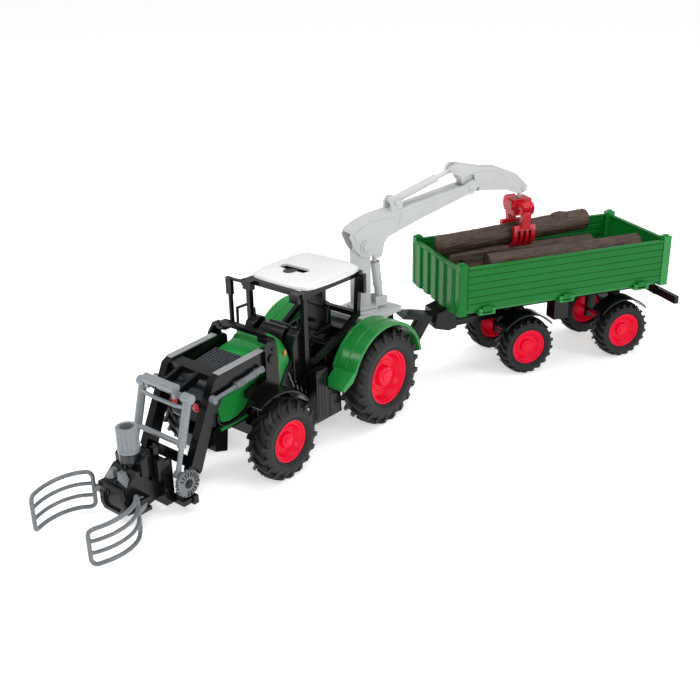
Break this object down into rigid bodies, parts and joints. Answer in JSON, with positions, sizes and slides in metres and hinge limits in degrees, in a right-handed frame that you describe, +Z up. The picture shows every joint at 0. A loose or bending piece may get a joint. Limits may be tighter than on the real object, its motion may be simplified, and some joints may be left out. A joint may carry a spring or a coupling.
{
  "type": "toy tractor",
  "caption": "Toy farm tractor with a front bale gripper on a loader, a rear timber crane holding a log, and a hitched log trailer with drop sides.",
  "frame": {"origin": "centre of the whole set's box on the ground plane, under the join of tractor and trailer", "axes": "-Y is the tractor's front and its driving direction, +X the tractor's left side, +Z up; the trailer stands behind at about 29 degrees"},
  "size_m": [0.2404, 0.6322, 0.1975],
  "materials": {
    "green": "moulded green, semi-gloss",
    "black": "moulded black, semi-gloss",
    "white": "moulded white, gloss",
    "light_grey": "moulded light grey, satin",
    "slate": "moulded dark slate grey, satin",
    "steel_grey": "moulded blue-grey, satin",
    "red": "moulded red, gloss",
    "crimson": "moulded deep red, gloss",
    "tyre": "black rubber, matt",
    "bark": "moulded dark brown bark, matt",
    "lens": "moulded red lamp, gloss"
  },
  "bodies": {
    "tractor": {"chassis": "black", "front_axle_beam": "black", "hood": "green", "grille_cover": "slate", "nose_panel": "steel_grey", "headlamps": "lens", "cab_floor_and_dashboard": "black", "driver_seat": "black", "cab_frame": "black", "roof": "white", "rear_fenders": "green", "front_fenders": "black", "loader_mast": "black", "crane_base": "light_grey"},
    "rear_wheels": {"rear_tyres": "tyre", "rear_rims_and_axle": "red"},
    "knuckle_left": {"steering_knuckle_left": "black"},
    "knuckle_right": {"steering_knuckle_right": "black"},
    "rack": {"steering_rack": "black"},
    "front_wheel_left": {"front_tyre_left": "tyre", "front_rim_left": "red"},
    "front_wheel_right": {"front_tyre_right": "tyre", "front_rim_right": "red"},
    "loader": {"loader_arms": "black", "lift_cylinders": "steel_grey"},
    "tilt_link": {"tilt_frame": "steel_grey"},
    "tilt_rams": {"tilt_rods": "steel_grey"},
    "tool": {"gear_discs": "black", "tool_carrier": "black", "gripper_body": "slate"},
    "knob": {"gripper_knob": "steel_grey"},
    "claw_l": {"claw_left": "steel_grey"},
    "claw_r": {"claw_right": "steel_grey"},
    "column": {"crane_column": "light_grey"},
    "lift_tube": {"boom_cylinder_tube": "light_grey"},
    "lift_rod": {"boom_cylinder_rod": "light_grey"},
    "boom": {"crane_boom": "light_grey"},
    "stick_tube": {"stick_cylinder_tube": "light_grey"},
    "stick_rod": {"stick_cylinder_rod": "light_grey"},
    "stick": {"crane_stick": "light_grey"},
    "swivel": {"swivel_link": "light_grey"},
    "grapple": {"grapple_body": "crimson", "log_in_grapple": "bark"},
    "jaw_l": {"grapple_jaw_left": "crimson"},
    "jaw_r": {"grapple_jaw_right": "crimson"},
    "drawbar": {"drawbar_and_dolly": "black"},
    "trailer_front_wheels": {"trailer_front_tyres": "tyre", "trailer_front_rims_and_axle": "red"},
    "trailer": {"bed_floor": "green", "headboard": "green", "trailer_chassis": "black", "trailer_fenders": "black", "lower_logs": "bark"},
    "trailer_rear_wheels": {"trailer_rear_tyres": "tyre", "trailer_rear_rims_and_axle": "red"},
    "wall_left": {"side_wall_left": "green"},
    "wall_right": {"side_wall_right": "green"},
    "tail": {"tailgate": "green"},
    "loose_log_right": {"log_right": "bark"},
    "loose_log_upper": {"log_upper": "bark"}
  },
  "joints": [
    {"name": "rear_wheels_spin", "type": "hinge", "parent": "tractor", "child": "rear_wheels", "pos_m": [-0.0614, -0.0244, 0.042], "axis": [1, 0, 0], "continuous": true},
    {"name": "steer_left", "type": "hinge", "parent": "tractor", "child": "knuckle_left", "pos_m": [-0.0284, -0.1445, 0.0321], "axis": [0, 0, 1], "range_deg": [-15, 15]},
    {"name": "steer_right", "type": "hinge", "parent": "tractor", "child": "knuckle_right", "pos_m": [-0.0944, -0.1445, 0.0321], "axis": [0, 0, 1], "range_deg": [-15, 15]},
    {"name": "rack_slide", "type": "slide", "parent": "tractor", "child": "rack", "axis": [1, 0, 0], "range_m": [-0.0034, 0.0034]},
    {"name": "front_wheel_left_spin", "type": "hinge", "parent": "knuckle_left", "child": "front_wheel_left", "pos_m": [-0.0164, -0.1445, 0.0321], "axis": [1, 0, 0], "continuous": true},
    {"name": "front_wheel_right_spin", "type": "hinge", "parent": "knuckle_right", "child": "front_wheel_right", "pos_m": [-0.1064, -0.1445, 0.0321], "axis": [1, 0, 0], "continuous": true},
    {"name": "loader_lift", "type": "hinge", "parent": "tractor", "child": "loader", "pos_m": [-0.0614, -0.1364, 0.0915], "axis": [-1, 0, 0], "range_deg": [0, 30]},
    {"name": "tool_tilt", "type": "hinge", "parent": "loader", "child": "tool", "pos_m": [-0.0614, -0.2249, 0.0234], "axis": [-1, 0, 0], "range_deg": [0, 25]},
    {"name": "tilt_frame_swing", "type": "hinge", "parent": "loader", "child": "tilt_link", "pos_m": [-0.0614, -0.2144, 0.086], "axis": [1, 0, 0], "range_deg": [0, 3.43]},
    {"name": "tilt_rod_slide", "type": "slide", "parent": "tilt_link", "child": "tilt_rams", "axis": [0, -0.2631, -0.9648], "range_m": [-0.00211, 0]},
    {"name": "claw_left_swing", "type": "hinge", "parent": "tool", "child": "claw_l", "pos_m": [-0.0424, -0.2594, 0.02], "axis": [0, 0, -1], "range_deg": [-15, 28]},
    {"name": "claw_right_swing", "type": "hinge", "parent": "tool", "child": "claw_r", "pos_m": [-0.0804, -0.2594, 0.02], "axis": [0, 0, -1], "range_deg": [-28, 15]},
    {"name": "knob_turn", "type": "hinge", "parent": "tool", "child": "knob", "pos_m": [-0.0614, -0.2514, 0.06], "axis": [0, 0, 1], "range_deg": [-92, 170]},
    {"name": "crane_slew", "type": "hinge", "parent": "tractor", "child": "column", "pos_m": [-0.0614, 0.0086, 0.082], "axis": [0, 0, 1], "range_deg": [-4, 4]},
    {"name": "boom_lift", "type": "hinge", "parent": "column", "child": "boom", "pos_m": [-0.06069, 0.01047, 0.1384], "axis": [0.9357, -0.3528, 0], "range_deg": [0, 25]},
    {"name": "lift_tube_swing", "type": "hinge", "parent": "column", "child": "lift_tube", "pos_m": [-0.0547, 0.02638, 0.086], "axis": [0.9357, -0.3528, 0], "range_deg": [-3.75, 0]},
    {"name": "lift_rod_slide", "type": "slide", "parent": "lift_tube", "child": "lift_rod", "axis": [-0.0438, -0.1161, 0.9923], "range_m": [0, 0.00567]},
    {"name": "stick_lift", "type": "hinge", "parent": "boom", "child": "stick", "pos_m": [-0.02259, 0.11153, 0.1758], "axis": [0.9357, -0.3528, 0], "range_deg": [0, 12]},
    {"name": "stick_tube_swing", "type": "hinge", "parent": "boom", "child": "stick_tube", "pos_m": [-0.04976, 0.03948, 0.1725], "axis": [0.9357, -0.3528, 0], "range_deg": [-2.54, 0]},
    {"name": "stick_rod_slide", "type": "slide", "parent": "stick_tube", "child": "stick_rod", "axis": [0.3361, 0.8913, 0.3045], "range_m": [-0.00414, 0]},
    {"name": "grapple_swing", "type": "hinge", "parent": "stick", "child": "swivel", "pos_m": [-0.00142, 0.16767, 0.1655], "axis": [0.9357, -0.3528, 0], "range_deg": [-3, 3]},
    {"name": "grapple_turn", "type": "hinge", "parent": "swivel", "child": "grapple", "pos_m": [-0.00142, 0.16767, 0.15], "axis": [0, 0, 1], "range_deg": [-6, 6]},
    {"name": "jaw_left_open", "type": "hinge", "parent": "grapple", "child": "jaw_l", "pos_m": [0.01104, 0.16066, 0.1442], "axis": [-0.4901, -0.8716, 0], "range_deg": [0, 20]},
    {"name": "jaw_right_open", "type": "hinge", "parent": "grapple", "child": "jaw_r", "pos_m": [-0.01388, 0.17468, 0.1442], "axis": [-0.4901, -0.8716, 0], "range_deg": [-20, 0]},
    {"name": "hitch_yaw", "type": "hinge", "parent": "tractor", "child": "drawbar", "pos_m": [-0.0614, 0.0406, 0.029], "axis": [0, 0, 1], "range_deg": [-4, 4]},
    {"name": "trailer_turn", "type": "hinge", "parent": "drawbar", "child": "trailer", "pos_m": [0.00183, 0.15304, 0.06], "axis": [0, 0, 1], "range_deg": [-5, 5]},
    {"name": "trailer_front_wheels_spin", "type": "hinge", "parent": "drawbar", "child": "trailer_front_wheels", "pos_m": [0.00183, 0.15304, 0.02705], "axis": [0.8716, -0.4901, 0], "continuous": true},
    {"name": "trailer_rear_wheels_spin", "type": "hinge", "parent": "trailer", "child": "trailer_rear_wheels", "pos_m": [0.05285, 0.24378, 0.02705], "axis": [0.8716, -0.4901, 0], "continuous": true},
    {"name": "wall_left_drop", "type": "hinge", "parent": "trailer", "child": "wall_left", "pos_m": [0.06188, 0.15599, 0.0754], "axis": [0.4901, 0.8716, 0], "range_deg": [0, 90]},
    {"name": "wall_right_drop", "type": "hinge", "parent": "trailer", "child": "wall_right", "pos_m": [-0.02685, 0.20588, 0.0754], "axis": [-0.4901, -0.8716, 0], "range_deg": [0, 90]},
    {"name": "tailgate_drop", "type": "hinge", "parent": "trailer", "child": "tail", "pos_m": [0.07177, 0.27743, 0.0786], "axis": [-0.8716, 0.4901, 0], "range_deg": [0, 90]},
    {"name": "log_right_lift", "type": "slide", "parent": "trailer", "child": "loose_log_right", "axis": [0, 0, 1], "range_m": [0, 0.036]},
    {"name": "log_upper_lift", "type": "slide", "parent": "trailer", "child": "loose_log_upper", "axis": [0, 0, 1], "range_m": [0, 0.05]}
  ],
  "couplings": [
    {"joint": "steer_right", "follows": "steer_left", "ratio": 1},
    {"joint": "rack_slide", "follows": "steer_left", "m_per_rad": -0.01238},
    {"joint": "tilt_frame_swing", "follows": "tool_tilt", "ratio": 0.13311},
    {"joint": "tilt_rod_slide", "follows": "tool_tilt", "m_per_rad": -0.0046091},
    {"joint": "claw_right_swing", "follows": "claw_left_swing", "ratio": -1},
    {"joint": "knob_turn", "follows": "claw_left_swing", "ratio": 6},
    {"joint": "lift_tube_swing", "follows": "boom_lift", "ratio": -0.14542},
    {"joint": "lift_rod_slide", "follows": "boom_lift", "m_per_rad": 0.012369},
    {"joint": "stick_tube_swing", "follows": "stick_lift", "ratio": -0.20556},
    {"joint": "stick_rod_slide", "follows": "stick_lift", "m_per_rad": -0.018813},
    {"joint": "jaw_right_open", "follows": "jaw_left_open", "ratio": -1}
  ]
}
